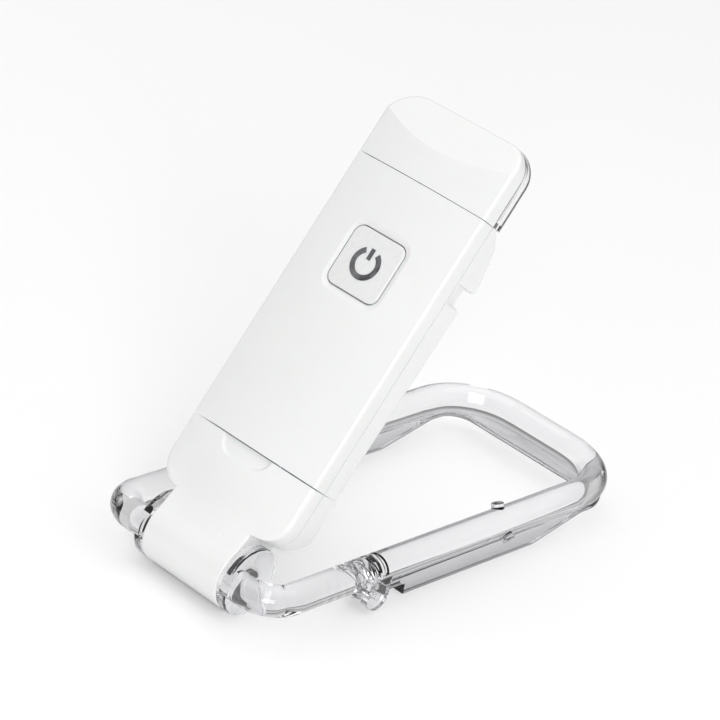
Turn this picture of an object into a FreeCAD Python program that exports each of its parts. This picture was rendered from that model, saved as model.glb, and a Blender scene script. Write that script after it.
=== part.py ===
import FreeCAD, Part
import math
import os
from FreeCAD import Vector

# ---------------------------------------------------------------------------
# Clip-on reading lamp, millimetres.
#
# Row frame: +Z up, +Y from the hinge towards the tip of the clip, +X to the
# right seen from the front. The lamp stands on its barrel and on the heels of
# the lower jaw, with the clip loop level and the lamp body leaning back.
#
# The lamp and its holder are drawn upright in their own frame (origin on the
# hinge axis, +Z up the body, +Y to the rear) and leaned back at the end.
# The clip is drawn level, with its origin on the hinge axis.
# ---------------------------------------------------------------------------

# --- Overall ---------------------------------------------------------------
lean_deg = 57.4            # angle between the lamp body and the clip loop
half_width = 16.7          # half of the body's width
front_crest = -6.5         # front face at its middle
front_edge = -4.7          # front face at its side edges
front_round = 0.9          # rounding of the front edges
parting = -0.9             # plane where front and rear halves meet
wall = 1.5                 # thickness of the white shells
seam = 0.16                # visible gap between two shells of one body
joint_gap = 0.26           # gap between the holder and the lamp body

# --- Heights along the body ------------------------------------------------
cap_z = 21.8               # seam between holder and lamp body
head_z = 82.1              # seam between lamp body and head
top_z = 97.8               # top of the head
cap_low_z = 7.9            # underside of the holder's shoulders
shoulder_round = 5.7       # outline radius of the shoulders
head_round = 6.0           # outline radius of the head's top corners

# --- Rear side -------------------------------------------------------------
rear_low = 4.3             # rear face at the holder seam
rear_high = 5.6            # rear face below the catch groove
groove_low_z = 65.1
groove_high_z = 69.6
groove_floor = 3.7
groove_side_depth = 1.1
hump_rear = 7.1            # rear face of the hump above the groove
hump_low_z = 70.0
hump_flat_z = 71.8
lens_rear = 4.5            # rear face of the clear head cover
lens_round = 3.6
lens_wall = 1.4

# --- Head front ------------------------------------------------------------
facet_low_z = 89.1         # sloping facet starts here at the middle
facet_slope = 0.514        # millimetres back per millimetre up

# --- Hinge -----------------------------------------------------------------
barrel_radius = 7.2
barrel_half = 10.3
shaft_radius = 2.4
shaft_half = 11.6
sleeve_radius = 3.4
sleeve_length = 6.0
sleeve_play = 0.03
knuckle_radius = 7.2
knuckle_in = 10.6
knuckle_out = 12.7
key_low = 0.25             # the shaft's ends keep only what is above this
blind_gap = 0.1            # room past the shaft's ends in the knuckles

# --- Clip loop (level frame: X, s along the loop, n up) ---------------------
rod_radius = 3.15
arm_x = 21.8
near_s = -4.4
far_s = 103.6
rod_n = 0.9
near_bend = 6.2
far_bend = 14.1
lug_s = 63.6               # two small lugs stand out of each arm here
lug_reach = 4.3            # from the rod's centre to a lug's end
lug_radius = 1.35
lug_angles = (112, -32)    # degrees from +X towards up, right arm
groove_depth = 0.6         # leaning grooves that leave ribs round the joint
grooves = ((17.2, 0.7, 48), (19.5, 0.8, 44), (21.4, 0.7, 36), (23.3, 0.8, 24), (25.4, 1.0, 6))

# --- Lower jaw --------------------------------------------------------------
pivot_s = 24.6
pivot_n = -3.6
pin_radius = 0.9
pin_play = 0.05
eye_radius = 2.6
ear_radius = 3.1
jaw_in = 20.0
jaw_out = 23.1
jaw_top = -2.6
neck_bottom = -4.7
heel_s = 34.8
heel_end_s = 75.8
heel_bottom = -barrel_radius   # the heels and the barrel stand on one plane
tip_bottom = -3.6
tip_s = 91.0
jaw_window_s = 98.6
jaw_end_s = 104.9
spring_wire = 0.45
spring_turns = 3
spring_leg = 8.0

# --- Button -----------------------------------------------------------------
button_z = 63.4
button_wide = 13.0
button_high = 12.9
button_round = 2.0
button_play = 0.25
dish_side = 2.2            # reach of the dish's cutter beside the button
dish_end = 1.4             # its reach above and below the button
dish_depth = 0.65          # depth of the dish at the hole, behind the crest
dish_over = 0.02           # how far its cutter starts in front of the crest
button_flange = 0.9
button_crown = 0.12        # how far the button's face stands behind the shell
ring_mid = 2.85
ring_line = 1.15
ring_gap_deg = 62.0
bar_length = 2.4
bar_width = 0.95
symbol_depth = 0.06

# --- Inside the lamp ---------------------------------------------------------
board_front = -2.2
board_thick = 1.0
board_half = 12.5
board_low_z = 27.6
board_high_z = 78.5
plug_half = 6.0
plug_thick = 4.5
plug_mid_y = -0.2
plug_low_z = 9.9
plug_high_z = 27.2
plug_sheet = 0.3
socket_play = 0.3
battery_half = 10.0
battery_low_z = 31.6
battery_high_z = 60.6
battery_thick = 3.0
battery_front = -0.5
pilot_radius = 0.62
pilot_depth = 2.05
screw_reach = 1.9          # how far a screw goes into its boss
led_x = (-9.0, 0.0, 9.0)
led_z = 88.6
led_board_y = -0.6
screw_spots = ((-10.6, 29.6), (10.6, 29.6), (-10.0, 76.0), (10.0, 76.0))

back_limit = 14.0          # any plane well behind every rear face


# ===========================================================================
# Small drawing tools
# ===========================================================================
def block(x0, x1, y0, y1, z0, z1):
    """A box between two corners."""
    return Part.makeBox(x1 - x0, y1 - y0, z1 - z0, Vector(x0, y0, z0))


def bar(radius, start, end):
    """A round bar between two points."""
    span = Vector(*end) - Vector(*start)
    return Part.makeCylinder(radius, span.Length, Vector(*start), span)


def corner_arc(before, corner, after, radius):
    """The tangent points and the middle of a round corner."""
    a = (before - corner).normalize()
    b = (after - corner).normalize()
    half = math.acos(max(-1.0, min(1.0, a.dot(b)))) / 2.0
    reach = radius / math.tan(half)
    centre = corner + (a + b).normalize() * (radius / math.sin(half))
    middle = centre + (corner - centre).normalize() * radius
    return corner + a * reach, middle, corner + b * reach


def outline(corners, place):
    """A closed wire through (u, v) corners; a third value rounds the corner."""
    points = [Vector(c[0], c[1], 0) for c in corners]
    radii = [c[2] if len(c) > 2 else 0.0 for c in corners]
    spans = []
    for i, point in enumerate(points):
        if radii[i] > 0:
            spans.append(corner_arc(points[i - 1], point, points[(i + 1) % len(points)], radii[i]))
        else:
            spans.append((point, None, point))
    edges = []
    for i, (start, middle, end) in enumerate(spans):
        if middle is not None:
            edges.append(Part.Arc(place(start), place(middle), place(end)).toShape())
        following = spans[(i + 1) % len(spans)][0]
        if (following - end).Length > 1e-6:
            edges.append(Part.makeLine(place(end), place(following)))
    return Part.Wire(edges)


def prism_x(corners, x0, x1):
    """Extrude an outline of (y, z) corners along X."""
    wire = outline(corners, lambda p: Vector(x0, p.x, p.y))
    return Part.Face(wire).extrude(Vector(x1 - x0, 0, 0))


def prism_y(corners, y0, y1):
    """Extrude an outline of (x, z) corners along Y."""
    wire = outline(corners, lambda p: Vector(p.x, y0, p.y))
    return Part.Face(wire).extrude(Vector(0, y1 - y0, 0))


def prism_z(corners, z0, z1):
    """Extrude an outline of (x, y) corners along Z."""
    wire = outline(corners, lambda p: Vector(p.x, p.y, z0))
    return Part.Face(wire).extrude(Vector(0, 0, z1 - z0))


def round_edges(solid, radius, chosen):
    """Fillet the edges whose middle point satisfies chosen(point)."""
    edges = [e for e in solid.Edges if chosen(e.valueAt((e.FirstParameter + e.LastParameter) / 2))]
    return solid.makeFillet(radius, edges)


def group(solids):
    """Several separate solids kept as one node."""
    return Part.makeCompound(solids)


def mirror_x(solid):
    """The same piece on the other side of the middle plane."""
    return solid.mirror(Vector(0, 0, 0), Vector(1, 0, 0))


def mirrored(corners):
    """Complete a right-hand half outline, given bottom to top, to both sides."""
    left = [(-c[0],) + tuple(c[1:]) for c in reversed(corners)]
    return list(corners) + left


# ===========================================================================
# White body: shared surfaces
# ===========================================================================
def crest_radius():
    """Radius of the gently crowned front face."""
    sag = front_edge - front_crest
    return (half_width ** 2 + sag ** 2) / (2 * sag)


def crowned(inset, z0, z1):
    """Everything behind the crowned front face with its round edges, set in by a wall."""
    radius = crest_radius() - inset
    axis_y = front_crest + crest_radius()
    half = half_width - inset
    drum = Part.makeCylinder(radius, z1 - z0, Vector(0, axis_y, z0))
    slab = drum.common(block(-half, half, -20, back_limit, z0, z1))
    return round_edges(slab, max(front_round - inset, 0.5),
                       lambda p: abs(abs(p.x) - half) < 0.01 and p.y < front_edge + inset + 0.1)


def halves(solid):
    """Split a body at the parting plane, leaving the visible seam."""
    front = solid.common(block(-40, 40, -40, parting - seam / 2, -20, 120))
    rear = solid.common(block(-40, 40, parting + seam / 2, 40, -20, 120))
    return front, rear


# ===========================================================================
# Lamp body shells
# ===========================================================================
def column_outer():
    """The lamp body between its two seams."""
    low = cap_z + joint_gap / 2
    high = head_z - seam / 2
    side = [(-20, low), (rear_low, low), (rear_high, groove_low_z), (hump_rear, hump_low_z, 0.8),
            (hump_rear - 0.1, hump_flat_z, 1.5), (4.6, 79.3, 2.0), (1.6, high), (-20, high)]
    column = crowned(0, low, high).common(prism_x(side, -30, 30))
    return round_edges(column, 1.1,
                       lambda p: abs(abs(p.x) - half_width) < 0.01 and p.y > 2.5 and p.z < high - 1)


def catch_groove():
    """The groove across the rear that runs round onto both sides."""
    low, high = groove_low_z, groove_high_z
    across = prism_x([(back_limit, low - 0.6), (groove_floor, low + 0.5, 0.6),
                      (groove_floor, high - 0.5, 0.6), (back_limit, high + 0.6)], -30, 30)
    side = block(half_width - groove_side_depth, 30, parting + 0.7, back_limit, low, high)
    return across.fuse([side, mirror_x(side)])


def column_cavity():
    """The room inside the lamp body."""
    low = cap_z + joint_gap / 2 + wall
    high = head_z + 1
    side = [(-20, low), (rear_low - wall, low), (rear_high - wall, groove_low_z - 2.0),
            (groove_floor - wall, groove_low_z - 1.0), (groove_floor - wall, hump_low_z + 1.4),
            (hump_rear - wall - 0.4, hump_low_z + 1.4, 0.6), (3.0, 78.4), (0.4, 80.6), (0.4, high), (-20, high)]
    return crowned(wall, low, high).common(prism_x(side, -30, 30))


def button_opening():
    """Cutters for the button: its hole, and the sloping dish round it."""
    wide = button_wide / 2 + button_play
    high = button_high / 2 + button_play
    inner = rounded_rect(0, button_z, wide, high, button_round + button_play)
    outer = rounded_rect(0, button_z, wide + dish_side, high + dish_end, button_round + dish_end)
    rims = [outline(outer, lambda p: Vector(p.x, front_crest - dish_over, p.y)),
            outline(inner, lambda p: Vector(p.x, front_crest + dish_depth, p.y))]
    dish = Part.makeLoft(rims, True)
    if dish.Volume < 0:
        dish.reverse()
    return [prism_y(inner, -20, parting - 1), dish]


def rounded_rect(x, z, half_x, half_z, radius):
    """Corners of a rounded rectangle about a centre."""
    return [(x - half_x, z - half_z, radius), (x + half_x, z - half_z, radius),
            (x + half_x, z + half_z, radius), (x - half_x, z + half_z, radius)]


def plug_slot(play):
    """The space a USB plug takes where it leaves the lamp body."""
    half = plug_half + play
    thick = plug_thick / 2 + play
    return block(-half, half, plug_mid_y - thick, plug_mid_y + thick, plug_low_z - 1, plug_high_z)


def screw_boss(x, z):
    """A boss inside the front shell with its pilot hole."""
    boss = bar(1.9, (x, front_crest + 1.0, z), (x, board_front, z))
    boss = boss.common(crowned(0.5, cap_z, head_z))
    return boss.cut(bar(pilot_radius, (x, board_front - pilot_depth, z), (x, board_front, z)))


def body_shells():
    """Front and rear shells of the lamp body."""
    hollow = column_outer().cut([catch_groove(), column_cavity(), plug_slot(0.05)])
    front, rear = halves(hollow)
    for cutter in button_opening():
        front = front.cut(cutter)
    front = front.fuse([screw_boss(x, z) for x, z in screw_spots]).removeSplitter()
    return front, rear


# ===========================================================================
# Head
# ===========================================================================
def head_outline(inset):
    """Head seen from the front, set in by a wall."""
    half = half_width - inset
    low = head_z + seam / 2
    return mirrored([(half, low), (half, top_z - inset, head_round - inset)])


def head_outer():
    """The whole head: sloping facet in front, rounded clear cover behind."""
    low = head_z + seam / 2
    head = crowned(0, low, top_z + 1).common(prism_y(head_outline(0), -20, lens_rear))
    head = round_edges(head, lens_round, lambda p: p.y > lens_rear - 0.01 and p.z > low + 0.1)
    back = front_crest + (top_z + 2 - facet_low_z) * facet_slope
    facet = prism_x([(front_crest - 9, facet_low_z), (front_crest, facet_low_z), (back, top_z + 2),
                     (front_crest - 9, top_z + 2)], -30, 30)
    return round_edges(head.cut(facet), 0.8, lambda p: p.z > top_z - 1.8 and p.y < parting - 0.3)


def head_shells():
    """White front cover and clear rear cover of the head."""
    front, rear = halves(head_outer())
    front = front.cut(crowned(wall, head_z - 1, facet_low_z + 1).common(
        prism_y(head_outline(wall), -20, back_limit)))
    room = prism_y(head_outline(lens_wall), -20, lens_rear - lens_wall)
    room = round_edges(room, lens_round - lens_wall, lambda p: p.y > 0 and p.z > head_z + 1)
    rear = rear.cut(room)
    rear = rear.fuse(block(-half_width + 1.6, half_width - 1.6, 0.2, lens_rear - 1.0, head_z + seam / 2,
                           head_z + seam / 2 + 1.2))
    return front, rear.removeSplitter()


def reflector():
    """White tray behind the LED board that fills the clear cover's mouth."""
    half = half_width - lens_wall - 0.3
    low = head_z + 1.5
    high = top_z - 3.2
    tray = prism_y([(-half, low, 1.0), (half, low, 1.0), (half, high, 4.0), (-half, high, 4.0)],
                   led_board_y + 1.0, led_board_y + 1.8)
    windows = [block(x - 1.9, x + 1.9, -5, 5, led_z - 1.6, led_z + 1.6) for x in led_x]
    return tray.cut(windows)


def led_board():
    """Aluminium-backed board that carries the LEDs."""
    return prism_y([(-13.2, 84.4, 0.8), (13.2, 84.4, 0.8), (13.2, 93.2, 0.8), (-13.2, 93.2, 0.8)],
                   led_board_y, led_board_y + 1.0)


def leds():
    """Surface-mount LEDs with their domes."""
    face = led_board_y + 1.0
    packs = []
    for x in led_x:
        pack = block(x - 1.75, x + 1.75, face, face + 0.9, led_z - 1.4, led_z + 1.4)
        dome = Part.makeSphere(1.25, Vector(x, face + 0.7, led_z))
        packs.append(pack.fuse(dome.common(block(x - 2, x + 2, face + 0.8, 9, led_z - 2, led_z + 2))))
    return group(packs)


# ===========================================================================
# Button and electronics
# ===========================================================================
def button():
    """Square push button with a retaining flange and a stem."""
    wide, high = button_wide / 2, button_high / 2
    back = front_crest + wall + 0.95
    cap = prism_y(rounded_rect(0, button_z, wide, high, button_round), -20, back)
    cap = cap.common(crowned(button_crown, button_z - 10, button_z + 10))
    cap = round_edges(cap, 0.35, lambda p: p.y < front_crest + 0.7)
    flange = prism_y(rounded_rect(0, button_z, wide + button_flange, high + button_flange, button_round),
                     back - 0.6, back)
    stem = bar(1.6, (0, back, button_z), (0, board_front - 1.7, button_z))
    return cap.fuse([flange, stem]).cut(power_symbol()).removeSplitter()


def power_symbol():
    """A power mark inlaid flush in the button: a broken ring and a bar."""
    outer = ring_mid + ring_line / 2
    inner = ring_mid - ring_line / 2
    deep = front_crest + button_crown + symbol_depth + 0.35
    ring = bar(outer, (0, -10, button_z), (0, deep, button_z)).cut(
        bar(inner, (0, -11, button_z), (0, 0, button_z)))
    half = math.radians(ring_gap_deg / 2)
    reach = 2 * outer
    gap = prism_y([(0, button_z), (reach * math.sin(half), button_z + reach * math.cos(half)),
                   (-reach * math.sin(half), button_z + reach * math.cos(half))], -12, 1)
    stroke = prism_y([(-bar_width / 2, button_z + 0.9), (bar_width / 2, button_z + 0.9),
                      (bar_width / 2, button_z + 0.9 + bar_length), (-bar_width / 2, button_z + 0.9 + bar_length)],
                     -10, deep)
    marks = ring.cut(gap).fuse(stroke)
    return marks.common(crowned(button_crown - symbol_depth, button_z - 10, button_z + 10))


def main_board():
    """Printed board with holes for its screws."""
    board = block(-board_half, board_half, board_front, board_front + board_thick, board_low_z, board_high_z)
    return board.cut([bar(0.8, (x, -5, z), (x, 5, z)) for x, z in screw_spots])


def board_screws():
    """Pan-head screws that hold the board to the front shell."""
    rear = board_front + board_thick
    screws = []
    for x, z in screw_spots:
        head = bar(1.35, (x, rear, z), (x, rear + 0.8, z))
        slot = block(x - 1.0, x + 1.0, rear + 0.45, rear + 1, z - 0.18, z + 0.18)
        cross = block(x - 0.18, x + 0.18, rear + 0.45, rear + 1, z - 1.0, z + 1.0)
        screws.append(head.cut([slot, cross]).fuse(bar(0.6, (x, board_front - screw_reach, z), (x, rear, z))))
    return group(screws)


def switch_body():
    """Tact switch on the front of the board, with a hole for its plunger."""
    body = block(-2.3, 2.3, board_front - 1.2, board_front, button_z - 2.3, button_z + 2.3)
    return body.cut(bar(1.06, (0, board_front - 2, button_z), (0, board_front - 0.3, button_z)))


def switch_plunger():
    """Plunger of the tact switch, which travels with the button."""
    return bar(1.0, (0, board_front - 1.7, button_z), (0, board_front - 0.8, button_z))


def board_parts():
    """Charging chip, inductor, capacitors and resistors on the board."""
    front = board_front
    sizes = ((-4.0, 44.0, 4.9, 3.9, 1.5), (4.5, 44.5, 4.0, 4.0, 1.8), (-6.0, 36.5, 2.0, 1.2, 0.9),
             (-1.5, 36.5, 2.0, 1.2, 0.9), (3.5, 36.5, 3.2, 1.6, 1.1), (-5.5, 52.0, 2.9, 1.6, 1.1),
             (5.5, 52.0, 1.6, 0.8, 0.5))
    return group([block(x - w / 2, x + w / 2, front - t, front, z - h / 2, z + h / 2) for x, z, w, h, t in sizes])


def battery():
    """Lithium pouch cell behind the board."""
    cell = block(-battery_half, battery_half, battery_front, battery_front + battery_thick,
                 battery_low_z, battery_high_z)
    return round_edges(cell, 1.2, lambda p: abs(p.x) > battery_half - 0.01 and abs(p.y - battery_front - 1.5) > 1)


def battery_pad():
    """Foam tape between the board and the cell."""
    return block(-7.0, 7.0, board_front + board_thick, battery_front, battery_low_z + 6, battery_high_z - 8)


def battery_leads():
    """Two short leads from the board to the cell's top."""
    rear = board_front + board_thick
    return group([block(x - 0.6, x + 0.6, rear, battery_front + 1.0, battery_high_z, battery_high_z + 0.4)
                  for x in (-3.0, 3.0)])


def led_leads():
    """Two stiff leads that carry the current from the board to the head."""
    rear = board_front + board_thick
    return group([bar(0.3, (x, rear + 0.3, board_high_z - 3.0), (x, rear + 0.3, led_z - 2.0)) for x in (-3.0, 3.0)])


def usb_shell():
    """Metal sleeve of the plug, open at its lower end, with two latch windows."""
    half, thick = plug_half, plug_thick / 2
    sleeve = block(-half, half, plug_mid_y - thick, plug_mid_y + thick, plug_low_z, plug_high_z)
    sleeve = round_edges(sleeve, 0.6, lambda p: abs(p.x) > half - 0.01 and abs(p.y - plug_mid_y) > thick - 0.01)
    inner = block(-half + plug_sheet, half - plug_sheet, plug_mid_y - thick + plug_sheet,
                  plug_mid_y + thick - plug_sheet, plug_low_z - 1, plug_high_z - 1.0)
    windows = [block(x - 1.25, x + 1.25, -5, 5, plug_low_z + 5.2, plug_low_z + 7.4) for x in (-2.9, 2.9)]
    return sleeve.cut([inner] + windows)


def usb_tongue():
    """Plastic tongue inside the plug."""
    half = plug_half - plug_sheet
    floor = plug_mid_y - plug_thick / 2 + plug_sheet
    return block(-half, half, floor, floor + 1.9, plug_low_z + 0.3, plug_high_z - 1.0)


def usb_contacts():
    """Four contact strips on the tongue."""
    face = plug_mid_y - plug_thick / 2 + plug_sheet + 1.9
    strips = []
    for x, reach in ((-3.5, 9.0), (-1.0, 8.0), (1.0, 8.0), (3.5, 9.0)):
        strips.append(block(x - 0.5, x + 0.5, face, face + 0.12, plug_low_z + 1.0, plug_low_z + 1.0 + reach))
    return group(strips)


# ===========================================================================
# Holder: the cap with the hinge barrel
# ===========================================================================
def cap_outline():
    """Holder seen from the front, shoulders and neck."""
    high = cap_z - joint_gap / 2
    return mirrored([(barrel_half - 0.4, cap_low_z), (half_width, cap_low_z, shoulder_round), (half_width, high)])


def thumb_notch():
    """The shallow dished notch in the front at the holder's upper edge."""
    high = cap_z
    low = 18.3
    shape = [(-6.6, high + 3), (-6.6, low, 3.4), (6.6, low, 3.4), (6.6, high + 3)]
    slab = prism_y(shape, -20, front_crest + 2.4)
    ball = Part.makeCylinder(30, 20, Vector(-10, front_crest + 30.5, low + 3.5), Vector(1, 0, 0))
    return slab.cut(ball)


def holder_outer():
    """Solid shape of the holder."""
    high = cap_z - joint_gap / 2
    cap = crowned(0, cap_low_z - 1, high).common(prism_y(cap_outline(), -20, back_limit))
    side = [(-20, 0), (rear_low - 2.4, cap_low_z - 0.6), (rear_low, cap_low_z + 4.0, 2.5), (rear_low, high), (-20, high)]
    cap = cap.common(prism_x(side, -30, 30))
    neck = prism_x([(front_crest, 1.0), (rear_low - 0.4, 1.0), (rear_low - 0.4, cap_low_z + 5), (front_crest + 0.6, cap_low_z + 5)],
                   -barrel_half, barrel_half)
    neck = neck.common(crowned(0, 0, 30))
    barrel = bar(barrel_radius, (-barrel_half, 0, 0), (barrel_half, 0, 0))
    return cap.fuse([neck, barrel]).removeSplitter()


def holder_halves():
    """Front and rear halves of the holder, with socket, bore and thumb notch."""
    play = socket_play
    socket = block(-plug_half - play, plug_half + play, plug_mid_y - plug_thick / 2 - play,
                   plug_mid_y + plug_thick / 2 + play, plug_low_z - 0.6, 40)
    bore = bar(shaft_radius + 0.4, (-30, 0, 0), (30, 0, 0))
    seats = [bar(sleeve_radius, (x, 0, 0), (x + sleeve_length, 0, 0))
             for x in (-barrel_half, barrel_half - sleeve_length)]
    solid = holder_outer().cut([socket, bore, thumb_notch()] + seats)
    return halves(solid)


def hinge_shaft():
    """Steel shaft with a half-moon key on each end, fixed in the clear knuckles."""
    shaft = bar(shaft_radius, (-shaft_half, 0, 0), (shaft_half, 0, 0))
    flat = block(knuckle_in - blind_gap, 40, -9, 9, -9, key_low)
    return shaft.cut([flat, mirror_x(flat)])


def friction_sleeves():
    """Tight plastic sleeves that hold the tilt, pressed into the barrel."""
    inner = shaft_radius + sleeve_play
    sleeves = []
    for x in (-barrel_half, barrel_half - sleeve_length):
        start, end = (x + 0.05, 0, 0), (x + sleeve_length - 0.05, 0, 0)
        sleeves.append(bar(sleeve_radius - 0.01, start, end).cut(bar(inner, (-30, 0, 0), (30, 0, 0))))
    return group(sleeves)


# ===========================================================================
# Clip
# ===========================================================================
def rod_half():
    """Right half of the loop's rod, swept along straights and round bends."""
    n = rod_n
    c = math.cos(math.radians(45))
    near, far = near_bend, far_bend
    p = [Vector(knuckle_in + 0.6, near_s, n), Vector(arm_x - near, near_s, n),
         Vector(arm_x, near_s + near, n), Vector(arm_x, far_s - far, n),
         Vector(arm_x - far, far_s, n), Vector(0, far_s, n)]
    near_mid = Vector(arm_x - near + near * c, near_s + near - near * c, n)
    far_mid = Vector(arm_x - far + far * c, far_s - far + far * c, n)
    path = Part.Wire([Part.makeLine(p[0], p[1]), Part.Arc(p[1], near_mid, p[2]).toShape(),
                      Part.makeLine(p[2], p[3]), Part.Arc(p[3], far_mid, p[4]).toShape(),
                      Part.makeLine(p[4], p[5])])
    section = Part.Wire([Part.makeCircle(rod_radius, p[0], Vector(1, 0, 0))])
    return path.makePipeShell([section], True, True)


def knuckle():
    """Right-hand knuckle disc, and the half-moon hole for the shaft's key."""
    disc = bar(knuckle_radius, (knuckle_in, 0, 0), (knuckle_out, 0, 0))
    disc = round_edges(disc, 0.5, lambda p: p.x > knuckle_out - 0.01)
    deep = shaft_half + blind_gap
    hole = bar(shaft_radius, (0, 0, 0), (deep, 0, 0))
    return disc, hole.cut(block(0, deep, -9, 9, -9, key_low))


def pivot_ears():
    """Two ears under the right arm, either side of the lower jaw's eye."""
    ears = []
    for x0, x1 in ((arm_x - rod_radius, jaw_in - 0.15), (jaw_out + 0.15, arm_x + rod_radius)):
        disc = bar(ear_radius, (x0, pivot_s, pivot_n), (x1, pivot_s, pivot_n))
        web = block(x0, x1, pivot_s - ear_radius, pivot_s + ear_radius, pivot_n, rod_n)
        ears.append(disc.fuse(web))
    return ears


def ring_cut(s, width, lean):
    """A ring-shaped cutter round the right arm, turned about X by its lean."""
    ring = bar(rod_radius * 2.5, (arm_x, s, rod_n), (arm_x, s + width, rod_n))
    ring.rotate(Vector(arm_x, s, rod_n), Vector(1, 0, 0), lean)
    return ring.cut(bar(rod_radius - groove_depth, (arm_x, s - 9, rod_n), (arm_x, s + 9, rod_n)))


def lugs():
    """Short round lugs on the upper inner and the lower outer side of the right arm."""
    made = []
    for angle in lug_angles:
        side, up = math.cos(math.radians(angle)), math.sin(math.radians(angle))
        end = (arm_x + lug_reach * side, lug_s, rod_n + lug_reach * up)
        lug = bar(lug_radius, (arm_x, lug_s, rod_n), end)
        made.append(round_edges(lug, 0.4, lambda p: math.dist((p.x, p.z), (arm_x, rod_n)) > rod_radius))
    return made


def clip_loop():
    """The clear loop: knuckles, bent rod, pivot ears and lugs."""
    disc, hole = knuckle()
    half = rod_half().cut([ring_cut(*groove) for groove in grooves]).fuse([disc] + lugs() + pivot_ears())
    pocket = bar(eye_radius + 0.45, (jaw_in - 0.15, pivot_s, pivot_n), (jaw_out + 0.15, pivot_s, pivot_n))
    trench = block(jaw_in - 0.15, jaw_out + 0.15, pivot_s - eye_radius - 0.45, pivot_s + ear_radius + 0.6,
                   pivot_n - 9, pivot_n)
    pin_hole = bar(pin_radius, (0, pivot_s, pivot_n), (40, pivot_s, pivot_n))
    half = half.cut([hole, pocket, trench, pin_hole])
    return half.fuse(mirror_x(half)).removeSplitter()


def jaw_eye():
    """Eye of the lower jaw on the pivot pin, right side."""
    return bar(eye_radius, (jaw_in, pivot_s, pivot_n), (jaw_in + 1.4, pivot_s, pivot_n))


def lower_jaw():
    """Clear lower jaw: two wedge-shaped arms joined by a thin tip plate."""
    side = [(pivot_s, jaw_top), (pivot_s, neck_bottom), (heel_s, neck_bottom), (heel_s, heel_bottom, 0.5),
            (heel_end_s, heel_bottom, 3.0), (tip_s, tip_bottom, 6.0), (jaw_end_s, tip_bottom, 0.45),
            (jaw_end_s, jaw_top, 0.45)]
    wedge = prism_x(side, -30, 30)
    frame = prism_z([(jaw_out, 10), (jaw_out, jaw_end_s, 12.0), (-jaw_out, jaw_end_s, 12.0), (-jaw_out, 10)], -20, 10)
    window = prism_z([(jaw_in, 0), (jaw_in, jaw_window_s, 5.0), (-jaw_in, jaw_window_s, 5.0), (-jaw_in, 0)], -30, 20)
    jaw = wedge.common(frame).cut(window)
    spring_room = bar(eye_radius + 0.5, (jaw_in + 1.4, pivot_s, pivot_n), (jaw_out + 5, pivot_s, pivot_n))
    jaw = jaw.cut([spring_room, mirror_x(spring_room)]).fuse([jaw_eye(), mirror_x(jaw_eye())])
    pin_hole = bar(pin_radius + pin_play, (-40, pivot_s, pivot_n), (40, pivot_s, pivot_n))
    return jaw.cut(pin_hole).removeSplitter()


def jaw_pins():
    """Steel pivot pins, one in each arm."""
    pin = bar(pin_radius, (arm_x - rod_radius + 0.1, pivot_s, pivot_n), (arm_x + rod_radius - 0.1, pivot_s, pivot_n))
    return group([pin, mirror_x(pin)])


def jaw_springs():
    """Torsion springs round the pins: a coil and two straight legs each."""
    coil = pin_radius + 0.25 + spring_wire / 2
    start = jaw_in + 1.75
    pitch = (jaw_out - start - spring_wire / 2) / spring_turns
    helix = Part.makeHelix(pitch, pitch * spring_turns, coil)
    helix.rotate(Vector(0, 0, 0), Vector(0, 1, 0), 90)
    helix.translate(Vector(start, pivot_s, pivot_n))
    path = Part.Wire(helix.Edges)
    first = path.Edges[0].valueAt(path.Edges[0].FirstParameter)
    section = Part.Wire([Part.makeCircle(spring_wire / 2, first, Vector(0, 1, 0))])
    wire = path.makePipeShell([section], True, True)
    low = pivot_n - coil
    end = start + pitch * spring_turns
    jaw_leg = bar(spring_wire / 2, (end, pivot_s, low), (end, pivot_s + spring_leg, low))
    loop_leg = bar(spring_wire / 2, (start, pivot_s, low),
                   (start, pivot_s - spring_leg / 1.5, rod_n - rod_radius - spring_wire / 2))
    wire = wire.fuse([jaw_leg, loop_leg]).removeSplitter()
    return group([wire, mirror_x(wire)])


# ===========================================================================
# Placing and writing
# ===========================================================================
def clip_extent():
    """Rearmost and foremost reach of the level clip along Y."""
    return near_s - rod_radius, far_s + rod_radius


def place_clip(shape):
    """Move a level clip piece so that the part's box is centred on the origin."""
    front, rear = clip_extent()
    moved = shape.copy()
    moved.translate(Vector(0, -(front + rear) / 2, barrel_radius))
    return moved


def place_lamp(shape):
    """Lean an upright piece back about the hinge axis, then move it with the clip."""
    leaned = shape.copy()
    leaned.rotate(Vector(0, 0, 0), Vector(1, 0, 0), lean_deg - 90)
    return place_clip(leaned)


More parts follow.
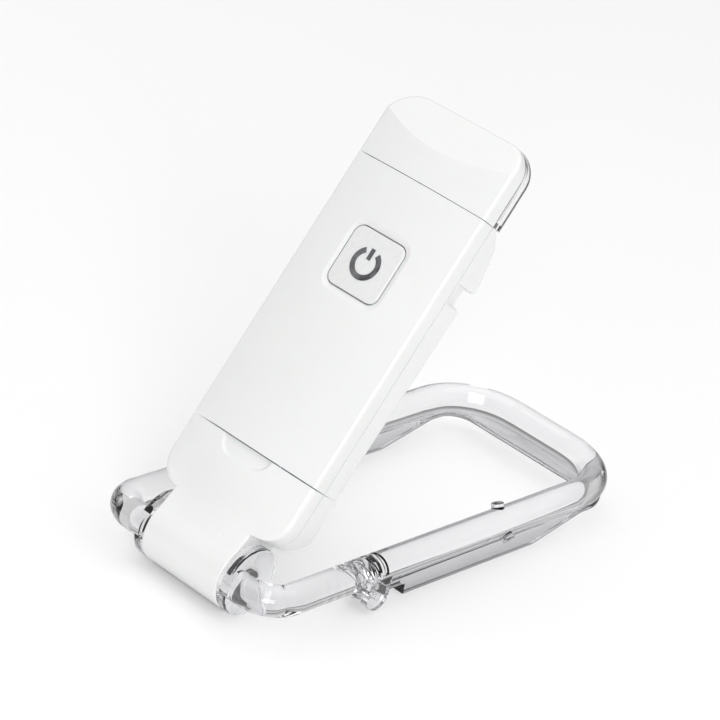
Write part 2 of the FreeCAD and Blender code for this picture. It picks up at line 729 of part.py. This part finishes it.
def main():
    os.makedirs("parts", exist_ok=True)
    front_shell, rear_shell = body_shells()
    head_cover, head_lens = head_shells()
    holder_front, holder_rear = holder_halves()
    upright = {
        "front_shell": front_shell, "rear_shell": rear_shell,
        "head_cover": head_cover, "head_lens": head_lens, "reflector": reflector(),
        "led_board": led_board(), "leds": leds(), "led_leads": led_leads(),
        "button": button(), "power_symbol": power_symbol(), "switch_plunger": switch_plunger(),
        "switch_body": switch_body(), "main_board": main_board(), "board_screws": board_screws(),
        "board_parts": board_parts(), "battery": battery(), "battery_pad": battery_pad(),
        "battery_leads": battery_leads(),
        "usb_shell": usb_shell(), "usb_tongue": usb_tongue(), "usb_contacts": usb_contacts(),
        "holder_front": holder_front, "holder_rear": holder_rear, "friction_sleeves": friction_sleeves(),
    }
    level = {
        "hinge_shaft": hinge_shaft(), "clip_loop": clip_loop(), "lower_jaw": lower_jaw(),
        "jaw_pins": jaw_pins(), "jaw_springs": jaw_springs(),
    }
    placed = {name: place_lamp(shape) for name, shape in upright.items()}
    placed.update({name: place_clip(shape) for name, shape in level.items()})
    for name, shape in placed.items():
        shape.exportStep("parts/" + name + ".step")
        print(name, "solids", len(shape.Solids), "valid", shape.isValid(), "mm3", round(shape.Volume, 1))


main()
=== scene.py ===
"""Looks of the clip-on reading lamp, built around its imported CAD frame."""
import math

import bmesh
import bpy
from mathutils import Matrix, Vector

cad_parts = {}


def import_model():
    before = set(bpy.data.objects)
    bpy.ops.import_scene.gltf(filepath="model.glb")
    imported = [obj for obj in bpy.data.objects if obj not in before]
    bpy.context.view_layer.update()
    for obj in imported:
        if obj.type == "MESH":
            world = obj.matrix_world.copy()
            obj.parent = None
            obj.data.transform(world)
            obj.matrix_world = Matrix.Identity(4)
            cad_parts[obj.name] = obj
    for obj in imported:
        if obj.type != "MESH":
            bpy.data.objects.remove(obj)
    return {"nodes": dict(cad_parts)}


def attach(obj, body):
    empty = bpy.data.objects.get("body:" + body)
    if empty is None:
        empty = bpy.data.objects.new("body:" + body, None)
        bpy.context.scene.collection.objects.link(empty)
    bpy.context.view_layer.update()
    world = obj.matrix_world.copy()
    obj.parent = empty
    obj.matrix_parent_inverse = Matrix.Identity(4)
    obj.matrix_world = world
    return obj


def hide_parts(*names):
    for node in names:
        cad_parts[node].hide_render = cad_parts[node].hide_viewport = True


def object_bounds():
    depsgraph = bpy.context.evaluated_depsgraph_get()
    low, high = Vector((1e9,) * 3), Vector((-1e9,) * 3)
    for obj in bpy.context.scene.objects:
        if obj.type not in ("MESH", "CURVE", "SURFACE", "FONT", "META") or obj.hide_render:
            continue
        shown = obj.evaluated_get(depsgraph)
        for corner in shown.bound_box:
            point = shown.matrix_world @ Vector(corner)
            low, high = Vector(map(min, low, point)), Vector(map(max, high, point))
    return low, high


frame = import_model()
cad_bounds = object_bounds()

MM = 0.001
LEAN = math.radians(57.4)                      # body above the clip's plane
HINGE = Vector((0.0, -0.0496, 0.0072))         # middle of the hinge shaft


# ---------------------------------------------------------------------------
# Node helpers
# ---------------------------------------------------------------------------
class Tree:
    """A material's nodes, made and linked with short calls."""

    def __init__(self, name):
        self.material = bpy.data.materials.new(name)
        self.material.use_nodes = True
        self.nodes = self.material.node_tree.nodes
        self.links = self.material.node_tree.links
        self.shader = self.nodes["Principled BSDF"]
        self.place = self.nodes.new("ShaderNodeTexCoord").outputs["Object"]

    def link(self, source, node, socket):
        self.links.new(source, node.inputs[socket])

    def set(self, **values):
        """Constant values on the shader's own sockets."""
        for name, value in values.items():
            self.shader.inputs[name.replace("_", " ")].default_value = value

    def noise(self, scale, detail=3.0, rough=0.5, stretch=None, distort=0.0):
        """Noise in object space; the scale is in features per metre."""
        node = self.nodes.new("ShaderNodeTexNoise")
        node.inputs["Scale"].default_value = scale
        node.inputs["Detail"].default_value = detail
        node.inputs["Roughness"].default_value = rough
        node.inputs["Distortion"].default_value = distort
        source = self.place
        if stretch is not None:
            mapping = self.nodes.new("ShaderNodeMapping")
            mapping.inputs["Scale"].default_value = stretch
            self.link(source, mapping, "Vector")
            source = mapping.outputs["Vector"]
        self.link(source, node, "Vector")
        return node.outputs["Fac"]

    def ramp(self, source, stops):
        """A colour ramp; stops are (position, colour or grey)."""
        node = self.nodes.new("ShaderNodeValToRGB")
        ramp = node.color_ramp
        while len(ramp.elements) < len(stops):
            ramp.elements.new(0.5)
        for element, (position, colour) in zip(ramp.elements, stops):
            element.position = position
            rgb = colour if isinstance(colour, tuple) else (colour, colour, colour)
            element.color = (*rgb, 1)
        self.link(source, node, "Fac")
        return node.outputs["Color"]

    def span(self, source, low, high):
        """Map 0..1 onto low..high."""
        node = self.nodes.new("ShaderNodeMapRange")
        node.inputs["To Min"].default_value = low
        node.inputs["To Max"].default_value = high
        self.link(source, node, "Value")
        return node.outputs["Result"]

    def bump(self, source, depth):
        """Full-strength bump of a depth in metres."""
        node = self.nodes.new("ShaderNodeBump")
        node.inputs["Distance"].default_value = depth
        node.inputs["Strength"].default_value = 1.0
        self.link(source, node, "Height")
        self.link(node.outputs["Normal"], self.shader, "Normal")

    def let_lamps_through(self, share):
        """Rays from the lamps pass, so that what is behind the plastic is lit."""
        clear = self.nodes.new("ShaderNodeBsdfTransparent")
        clear.inputs["Color"].default_value = (share, share, share, 1)
        path = self.nodes.new("ShaderNodeLightPath")
        mix = self.nodes.new("ShaderNodeMixShader")
        self.link(path.outputs["Is Shadow Ray"], mix, 0)
        self.link(self.shader.outputs["BSDF"], mix, 1)
        self.link(clear.outputs["BSDF"], mix, 2)
        self.link(mix.outputs["Shader"], self.nodes["Material Output"], "Surface")


# ---------------------------------------------------------------------------
# Materials
# ---------------------------------------------------------------------------
PAINTED_RIM_SHADE = (0.02, 0.02, 0.025)                 # painted shade: the clear plastic's colour where it is seen at a fully grazing angle
ACRYLIC_IOR = 1.49
LAMP_SHARE = 0.98                              # of the lamps' light that passes clear plastic


def moulded_white(name, light, dark, rough):
    """Glossy white ABS: faint cloudiness, fine orange peel, uneven gloss."""
    tree = Tree(name)
    tone = tree.ramp(tree.noise(55, 4, 0.55), [(0.3, dark), (0.7, light)])
    tree.link(tone, tree.shader, "Base Color")
    uneven = tree.noise(320, 3, 0.6)
    tree.link(tree.span(uneven, rough - 0.04, rough + 0.05), tree.shader, "Roughness")
    tree.set(IOR=1.5, Specular_IOR_Level=0.5, Coat_Weight=0.25, Coat_Roughness=0.12,
             Subsurface_Weight=0.08, Subsurface_Scale=0.002)
    tree.bump(tree.noise(1500, 2, 0.5), 0.000012)
    return tree.material


def clear_plastic(name, tint, painted_slant_tone, painted_edge_shade, rough, wave):
    """Clear moulded acrylic with painted shade: its colour darkens by view angle to a dark rim
    where seen grazing; faint flow waves, scuffs in the gloss.
    """
    tree = Tree(name)
    facing = tree.nodes.new("ShaderNodeLayerWeight")
    facing.inputs["Blend"].default_value = 0.5
    # Painted light and shade by view angle: the colour runs from the face-on tint through the slant
    # tone to painted dark rims at grazing angles.
    stops = [(0.0, tint), (0.45, painted_slant_tone), (0.76, painted_edge_shade), (1.0, PAINTED_RIM_SHADE)]
    tone = tree.ramp(facing.outputs["Facing"], stops)
    tree.link(tone, tree.shader, "Base Color")
    tree.set(Transmission_Weight=1.0, IOR=ACRYLIC_IOR)
    scuffs = tree.noise(420, 5, 0.65, stretch=(1, 0.35, 1))
    worn = tree.ramp(scuffs, [(0.55, 0.0), (0.8, 1.0)])
    tree.link(tree.span(worn, rough, rough + 0.07), tree.shader, "Roughness")
    tree.bump(tree.noise(110, 2, 0.4, stretch=(1, 0.3, 1), distort=0.4), wave)
    tree.let_lamps_through(LAMP_SHARE)
    return tree.material


def metal(name, light, dark, rough, stretch, grain=900):
    """Metal whose grain varies its colour, gloss and height."""
    tree = Tree(name)
    lines = tree.noise(grain, 4, 0.6, stretch=stretch)
    tree.link(tree.ramp(lines, [(0.3, dark), (0.7, light)]), tree.shader, "Base Color")
    tree.link(tree.span(lines, rough - 0.06, rough + 0.1), tree.shader, "Roughness")
    tree.set(Metallic=1.0)
    tree.bump(lines, 0.00001)
    return tree.material


def dull(name, light, dark, rough, grain, depth):
    """Matt plastic, solder mask, phosphor or foam: mottled colour and a fine grain."""
    tree = Tree(name)
    tone = tree.ramp(tree.noise(grain, 4, 0.6), [(0.3, dark), (0.7, light)])
    tree.link(tone, tree.shader, "Base Color")
    uneven = tree.noise(grain * 2, 2, 0.5)
    tree.link(tree.span(uneven, rough - 0.06, rough + 0.06), tree.shader, "Roughness")
    tree.bump(tree.noise(grain * 3, 3, 0.5), depth)
    return tree.material


# ---------------------------------------------------------------------------
# Mesh helpers
# ---------------------------------------------------------------------------
TILT = LEAN - math.pi / 2
SHARP = math.radians(30)                       # edges sharper than this stay crisp
TO_LAMP = Matrix.Translation(HINGE) @ Matrix.Rotation(TILT, 4, "X") @ Matrix.Scale(MM, 4)


def piece(name, points, faces, body, material):
    """A piece from points in the lamp's own millimetres, placed in the row frame on a body."""
    mesh = bpy.data.meshes.new(name)
    mesh.from_pydata([TO_LAMP @ Vector(p) for p in points], [], faces)
    mesh.validate()
    made = bmesh.new()
    made.from_mesh(mesh)
    bmesh.ops.recalc_face_normals(made, faces=made.faces)
    made.to_mesh(mesh)
    made.free()
    mesh.shade_smooth()
    mesh.set_sharp_from_angle(angle=SHARP)
    mesh.materials.append(material)
    thing = bpy.data.objects.new(name, mesh)
    bpy.context.scene.collection.objects.link(thing)
    if body:
        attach(thing, body)
    return thing


def box(xs, ys, zs):
    """Points and faces of a box."""
    faces = [(0, 1, 3, 2), (4, 6, 7, 5), (0, 4, 5, 1), (2, 3, 7, 6), (0, 2, 6, 4), (1, 5, 7, 3)]
    return [(x, y, z) for x in xs for y in ys for z in zs], faces


def drum(radius, x0, x1, steps=64):
    """Points and faces of a closed cylinder along X about the hinge axis."""
    turns = [2 * math.pi * i / steps for i in range(steps)]
    ring = [(radius * math.cos(turn), radius * math.sin(turn)) for turn in turns]
    points = [(x, y, z) for x in (x0, x1) for y, z in ring]
    faces = [(i, (i + 1) % steps, steps + (i + 1) % steps, steps + i) for i in range(steps)]
    faces += [tuple(range(steps)), tuple(range(2 * steps - 1, steps - 1, -1))]
    return points, faces


def carve(thing, cutters):
    """Cut closed shapes, given as points and faces in millimetres, out of a piece."""
    for points, faces in cutters:
        cutter = piece("cutter", points, faces, None, thing.data.materials[0])
        change = thing.modifiers.new("carve", "BOOLEAN")
        change.operation = "DIFFERENCE"
        change.solver = "EXACT"
        change.object = cutter
        settle(thing)
        bpy.data.objects.remove(cutter)


def settle(thing):
    """Apply a piece's modifiers to its mesh."""
    bpy.context.view_layer.update()
    made = thing.evaluated_get(bpy.context.evaluated_depsgraph_get())
    mesh = bpy.data.meshes.new_from_object(made)
    thing.modifiers.clear()
    thing.data = mesh


def smooth(value, low, high):
    """Smoothstep from 0 at low to 1 at high."""
    t = min(max((value - low) / (high - low), 0.0), 1.0)
    return t * t * (3 - 2 * t)


def spread(low, high, step):
    """Evenly spaced values from low to high, ends included, about a step apart."""
    count = max(1, round(abs(high - low) / step))
    return [low + (high - low) * i / count for i in range(count + 1)]


# ---------------------------------------------------------------------------
# Holder: one smooth front from the shoulders round the hinge barrel
# ---------------------------------------------------------------------------
# Millimetres in the lamp's own frame: X across, Y front to back, Z up from the hinge.
HALF = 16.7            # half of the body's width
CREST = -6.5           # front face at its middle
SAG = 1.8              # how far the crowned front falls back at its sides
BARREL = 7.2           # radius of the barrel
BARREL_HALF = 10.3     # half of its length
MIDDLE_STEPS = 190     # stations across the middle of a row
SHOULDER = 5.7         # outline radius of the shoulders
SHOULDER_LOW = 7.9
PART_FRONT = -0.98     # the front half ends here, at the parting seam
BLEND_TOP = 17.0       # the front starts to swell towards the barrel here
BLEND_LOW = 2.2        # and meets the barrel here
CROWN_FULL = 10.9      # the front has its full crown above here
NOTCH_LOW = 18.2       # the thumb notch begins here
EDGE_ROUND = 0.9       # rounding of the front's edges
NECK_ROUND = 0.4
SEAM = 21.67           # the holder ends here, below the lamp body
BARREL_ROWS = 40       # rows round the barrel
BORE = 3.4             # radius of the bore for the shaft's sleeves
SOCKET_HALF = 6.3      # the USB plug's socket: half width, front wall and floor
SOCKET_FRONT = -2.75
SOCKET_LOW = 9.3
PAST = 30.0            # cutters run out to here, past the piece
NOTCH_SHIFT = 0.3      # the thumb notch sits this far to -X of the middle
NOTCH_HALF = 6.4
NOTCH_CORNER = 3.6
NOTCH_WALL = (-0.12, 0.4)    # its soft wall runs between these distances inside its outline
NOTCH_DEPTH = 0.28     # at its lower end
NOTCH_SLOPE = 0.20     # deeper by this much per millimetre of height
SIDE_FADE = 1.5        # the swelling fades from this far inside the barrel's end to this far
                       # inside the side
NECK_FADE = 1.2        # the rounding grows from the neck's to the edge's over this height
SEAM_STEP = 0.2        # the front always stands this far before the parting seam
FINE_LOW = 17.4        # rows are close above this height, over the notch
FINE_STEP = 0.15
COARSE_TOP = 17.2
COARSE_STEP = 0.3


def crown(x):
    """Front face behind the crest at a distance from the middle."""
    return CREST + SAG * (x / HALF) ** 2


def shoulder_half(z):
    """Half width of the holder at a height."""
    if z < SHOULDER_LOW:
        return BARREL_HALF
    drop = max(SHOULDER_LOW + SHOULDER - z, 0.0)
    return HALF - SHOULDER + math.sqrt(max(SHOULDER ** 2 - drop ** 2, 0.0))


def edge_inset(x, z):
    """Distance inside the holder's outline."""
    x = abs(x)
    if z < SHOULDER_LOW:
        return BARREL_HALF - x
    middle = HALF - SHOULDER
    if z < SHOULDER_LOW + SHOULDER and x > middle:
        return SHOULDER - math.hypot(x - middle, z - SHOULDER_LOW - SHOULDER)
    return HALF - x


def swell(z):
    """How far the front stands before the crest on its way to the barrel."""
    if z > BLEND_TOP:
        return 0.0
    start = BARREL * math.cos(math.asin(BLEND_LOW / BARREL)) + CREST
    slope = BLEND_LOW / math.sqrt(BARREL ** 2 - BLEND_LOW ** 2)
    span = BLEND_TOP - BLEND_LOW
    t = (z - BLEND_LOW) / span
    return start * (2 * t ** 3 - 3 * t ** 2 + 1) - slope * span * (t ** 3 - 2 * t ** 2 + t)


def notch(x, z):
    """Depth of the thumb notch: a flat scoop with soft walls, deepest at the seam."""
    x = abs(x + NOTCH_SHIFT)
    if z > NOTCH_LOW + NOTCH_CORNER:
        inside = NOTCH_HALF - x
    elif x > NOTCH_HALF - NOTCH_CORNER:
        past = x - NOTCH_HALF + NOTCH_CORNER
        inside = NOTCH_CORNER - math.hypot(past, z - NOTCH_LOW - NOTCH_CORNER)
    else:
        inside = z - NOTCH_LOW
    depth = NOTCH_DEPTH + NOTCH_SLOPE * max(z - NOTCH_LOW, 0.0)
    return smooth(inside, *NOTCH_WALL) * depth


def holder_front_at(x, z):
    """Front surface of the holder above the barrel."""
    fade = 1.0
    if z > SHOULDER_LOW:
        fade -= smooth(abs(x), BARREL_HALF - SIDE_FADE, HALF - SIDE_FADE)
    base = CREST + (crown(x) - CREST) * smooth(z, BLEND_LOW, CROWN_FULL)
    y = base - swell(z) * fade + notch(x, z)
    grown = smooth(z, SHOULDER_LOW, SHOULDER_LOW + NECK_FADE)
    radius = NECK_ROUND + (EDGE_ROUND - NECK_ROUND) * grown
    near = min(max(radius - edge_inset(x, z), 0.0), radius)
    y += radius - math.sqrt(radius ** 2 - near ** 2)
    return min(y, PART_FRONT - SEAM_STEP)


def across(half):
    """Stations across a row: close together where the edges turn."""
    turn = [half - EDGE_ROUND * (1 - math.sin(math.radians(a))) for a in range(90, 0, -9)]
    inner = half - EDGE_ROUND
    middle = [inner - 2 * inner * i / MIDDLE_STEPS for i in range(MIDDLE_STEPS + 1)]
    return turn + middle + [-x for x in reversed(turn)]


def holder_front(material):
    """The holder's front half, solid, with its plug socket and the bore of the barrel."""
    rows = []
    # Two rows stand close above and below the shoulders' foot, where the outline steps out.
    heights = spread(SEAM, FINE_LOW, FINE_STEP)
    heights += spread(COARSE_TOP, SHOULDER_LOW + 0.01, COARSE_STEP)
    heights += spread(SHOULDER_LOW - 0.02, BLEND_LOW, COARSE_STEP)
    for z in heights:
        half = shoulder_half(z)
        row = [(x, holder_front_at(x, z), z) for x in across(half)]
        rows.append([(half, PART_FRONT, z)] + row + [(-half, PART_FRONT, z)])
    last = math.asin(PART_FRONT / BARREL)
    first = math.asin(BLEND_LOW / BARREL)
    for i in range(1, BARREL_ROWS + 1):
        angle = first + (-math.pi / 2 - last - first) * i / BARREL_ROWS
        y, z = -BARREL * math.cos(angle), BARREL * math.sin(angle)
        row = []
        for x in across(BARREL_HALF):
            near = max(NECK_ROUND - BARREL_HALF + abs(x), 0.0)
            less = (NECK_ROUND - math.sqrt(max(NECK_ROUND ** 2 - near ** 2, 0.0))) / BARREL
            row.append((x, min(y * (1 - less), PART_FRONT), z * (1 - less)))
        low, high = row[-1][2], row[0][2]
        rows.append([(BARREL_HALF, PART_FRONT, high)] + row + [(-BARREL_HALF, PART_FRONT, low)])
    wide = len(rows[0])
    points = [p for row in rows for p in row]
    faces = []
    for i in range(len(rows) - 1):
        for j in range(wide - 1):
            a = i * wide + j
            faces.append((a, a + 1, a + wide + 1, a + wide))
    faces.append(tuple(range(wide)))
    end = (len(rows) - 1) * wide
    faces.append(tuple(range(end, end + wide)))
    right = [i * wide for i in range(len(rows))]
    faces.append(tuple(right + [i + wide - 1 for i in reversed(right)]))
    thing = piece("holder_face", points, faces, "holder", material)
    socket = box((-SOCKET_HALF, SOCKET_HALF), (SOCKET_FRONT, 0), (SOCKET_LOW, PAST))
    carve(thing, [socket, drum(BORE, -PAST, PAST)])
    thing.data.shade_smooth()
    thing.data.set_sharp_from_angle(angle=SHARP)
    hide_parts("holder_front")


# ---------------------------------------------------------------------------
# Lower jaw: the CAD solid with rounded edges
# ---------------------------------------------------------------------------
WELD = 0.000002                # metres; corners nearer than this become one
FLAT = math.radians(1)         # facets that turn less than this become one face
JAW_ROUND = 0.00055            # metres; rounding of its edges
JAW_EDGE = math.radians(40)    # edges sharper than this are rounded
JAW_SHARP = math.radians(35)


def lower_jaw(material):
    """The clear lower jaw, copied from the CAD node and bevelled."""
    mesh = frame["nodes"]["lower_jaw"].data.copy()
    mesh.name = "jaw_clear"
    made = bmesh.new()
    made.from_mesh(mesh)
    bmesh.ops.remove_doubles(made, verts=made.verts, dist=WELD)
    bmesh.ops.dissolve_limit(made, angle_limit=FLAT, verts=made.verts, edges=made.edges)
    made.to_mesh(mesh)
    made.free()
    mesh.materials.clear()
    mesh.materials.append(material)
    thing = bpy.data.objects.new("jaw_clear", mesh)
    bpy.context.scene.collection.objects.link(thing)
    change = thing.modifiers.new("round", "BEVEL")
    change.width = JAW_ROUND
    change.segments = 4
    change.limit_method = "ANGLE"
    change.angle_limit = JAW_EDGE
    settle(thing)
    thing.data.shade_smooth()
    thing.data.set_sharp_from_angle(angle=JAW_SHARP)
    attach(thing, "jaw")
    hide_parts("lower_jaw")


# ---------------------------------------------------------------------------
# Materials on the carried-over CAD nodes
# ---------------------------------------------------------------------------
def dress():
    """Give each CAD node its material."""
    shell = moulded_white("white_shell", 0.82, 0.80, 0.24)
    cap = moulded_white("white_holder", 0.825, 0.805, 0.25)
    key = moulded_white("white_button", 0.765, 0.755, 0.27)
    pale = (0.975, 0.975, 0.98)
    clip = clear_plastic("clear_clip", (0.84, 0.84, 0.855), pale, (0.72, 0.72, 0.76), 0.01, 0.00006)
    # The jaw's clear plastic is a darker copy of the clip's: its tint is painted shade for the
    # shade it lies in under the rod, and its near-black grazing stop paints dark outlines.
    jaw = clear_plastic("clear_jaw_painted_shade", (0.63, 0.63, 0.64), (0.60, 0.60, 0.62), (0.14, 0.14, 0.16),
                        0.01, 0.00005)
    lens = clear_plastic("clear_lens", pale, pale, (0.62, 0.60, 0.63), 0.015, 0.00003)
    shaft = metal("dark_steel", (0.07, 0.07, 0.075), (0.03, 0.03, 0.035), 0.4, (0.05, 1, 1))
    steel = metal("steel", (0.78, 0.78, 0.79), (0.62, 0.62, 0.64), 0.22, (0.05, 1, 1))
    symbol = metal("symbol_grey", (0.36, 0.36, 0.37), (0.07, 0.07, 0.075), 0.3, (1, 1, 1), 260)
    looks = {
        shell: ("front_shell", "rear_shell", "head_cover"),
        cap: ("holder_rear",),
        key: ("button",),
        clip: ("clip_loop",),
        shaft: ("hinge_shaft",),
        lens: ("head_lens",),
        steel: ("jaw_pins", "jaw_springs", "board_screws", "usb_shell"),
        symbol: ("power_symbol",),
        dull("white_inner", (0.86, 0.86, 0.84), (0.80, 0.80, 0.78), 0.45, 400, 0.00001): (
            "reflector", "led_board", "usb_tongue", "friction_sleeves"),
        dull("black_plastic", (0.05, 0.05, 0.052), (0.028, 0.028, 0.03), 0.5, 600, 0.00002): (
            "switch_body", "switch_plunger", "board_parts"),
        dull("board_green", (0.03, 0.22, 0.10), (0.02, 0.16, 0.07), 0.35, 500, 0.00001): (
            "main_board",),
        dull("led_yellow", (0.92, 0.80, 0.28), (0.86, 0.70, 0.20), 0.3, 700, 0.00001): (
            "leds",),
        metal("copper_wire", (0.86, 0.52, 0.30), (0.70, 0.38, 0.20), 0.3, (1, 1, 0.1)): (
            "battery_leads", "led_leads"),
        metal("gold_contact", (0.95, 0.75, 0.36), (0.82, 0.60, 0.24), 0.22, (1, 1, 0.1)): (
            "usb_contacts",),
        metal("cell_foil", (0.76, 0.77, 0.79), (0.66, 0.67, 0.69), 0.36, (1, 1, 1), 300): (
            "battery",),
        dull("foam", (0.10, 0.10, 0.10), (0.05, 0.05, 0.05), 0.9, 900, 0.0001): (
            "battery_pad",),
    }
    for material, names in looks.items():
        for name in names:
            for slot in frame["nodes"][name].material_slots:
                slot.material = material
    holder_front(cap)
    lower_jaw(jaw)


# ---------------------------------------------------------------------------
# Stage
# ---------------------------------------------------------------------------
FLOOR_HALF = 6.0
FLOOR_GAP = 0.00005                            # the floor lies this far below the part
# The room's grey by the height of the direction looked in.
ROOM = [(0.0, 0.34), (0.14, 0.38), (0.36, 0.92), (1.0, 1.0)]
ROOM_STRENGTH = 0.7
BACKDROP = (2, 2, 2, 1)                        # what the camera sees straight behind the part
FOCAL = 165.92                                 # millimetres, on a 36 mm sensor
EYE = Vector((0.35265, -0.48268, 0.32701))
EYE_RIGHT = Vector((0.71578, 0.66681, 0.20743))
EYE_UP = Vector((-0.44098, 0.20128, 0.87466))
LIT = Vector((0, 0, 0.04))                     # the lamps shine on this point


def softbox(name, place, wide, high, power):
    """A rectangular area light that shines on the part; sizes in metres, power in watts."""
    data = bpy.data.lights.new(name, "AREA")
    data.shape = "RECTANGLE"
    data.size = wide
    data.size_y = high
    data.energy = power
    light = bpy.data.objects.new(name, data)
    light.location = place
    aim = LIT - light.location
    light.rotation_euler = aim.to_track_quat("-Z", "Y").to_euler()
    bpy.context.scene.collection.objects.link(light)


def floor():
    """A plain pale floor that reaches well past every view."""
    mesh = bpy.data.meshes.new("floor")
    corners = [(FLOOR_HALF * x, FLOOR_HALF * y, 0) for x, y in ((-1, -1), (1, -1), (1, 1), (-1, 1))]
    mesh.from_pydata(corners, [], [(0, 1, 2, 3)])
    plane = bpy.data.objects.new("floor", mesh)
    plane.location.z = cad_bounds[0][2] - FLOOR_GAP
    bpy.context.scene.collection.objects.link(plane)
    tree = Tree("floor_white")
    tone = tree.ramp(tree.noise(3, 2, 0.5), [(0.3, 0.93), (0.7, 0.95)])
    tree.link(tone, tree.shader, "Base Color")
    tree.set(Roughness=0.8, Specular_IOR_Level=0.1)
    mesh.materials.append(tree.material)


def world():
    """A white room, grey towards the horizon, which gives clear edges part of their dark lines; the
    rest is painted shade in the clear plastic's colour.
    """
    sky = bpy.data.worlds.new("room")
    bpy.context.scene.world = sky
    sky.use_nodes = True
    nodes, links = sky.node_tree.nodes, sky.node_tree.links
    back = nodes["Background"]
    place = nodes.new("ShaderNodeTexCoord")
    split = nodes.new("ShaderNodeSeparateXYZ")
    links.new(place.outputs["Generated"], split.inputs["Vector"])
    ramp = nodes.new("ShaderNodeValToRGB")
    while len(ramp.color_ramp.elements) < len(ROOM):
        ramp.color_ramp.elements.new(0.5)
    for element, (position, grey) in zip(ramp.color_ramp.elements, ROOM):
        element.position = position
        element.color = (grey, grey, grey, 1)
    links.new(split.outputs["Z"], ramp.inputs["Fac"])
    path = nodes.new("ShaderNodeLightPath")
    mix = nodes.new("ShaderNodeMix")
    mix.data_type = "RGBA"
    mix.inputs["B"].default_value = BACKDROP
    links.new(path.outputs["Is Camera Ray"], mix.inputs["Factor"])
    links.new(ramp.outputs["Color"], mix.inputs["A"])
    links.new(mix.outputs["Result"], back.inputs["Color"])
    back.inputs["Strength"].default_value = ROOM_STRENGTH


def camera():
    """The camera, where the photograph's was."""
    data = bpy.data.cameras.new("camera")
    data.sensor_width = 36.0
    data.lens = FOCAL
    data.clip_start = 0.01
    eye = bpy.data.objects.new("camera", data)
    back = EYE_RIGHT.cross(EYE_UP)
    turn = Matrix((EYE_RIGHT, EYE_UP, back)).transposed().to_4x4()
    eye.matrix_world = Matrix.Translation(EYE) @ turn
    bpy.context.scene.collection.objects.link(eye)
    bpy.context.scene.camera = eye


camera()
world()
floor()
softbox("overhead", (0.0, 0.1, 1.1), 1.3, 1.3, 5.0)
softbox("key", (0.80, -0.80, 0.50), 0.6, 0.6, 5.8)
softbox("side", (1.1, 0.1, 0.45), 0.7, 0.5, 0.3)
dress()
bpy.context.scene.view_settings.view_transform = "Standard"
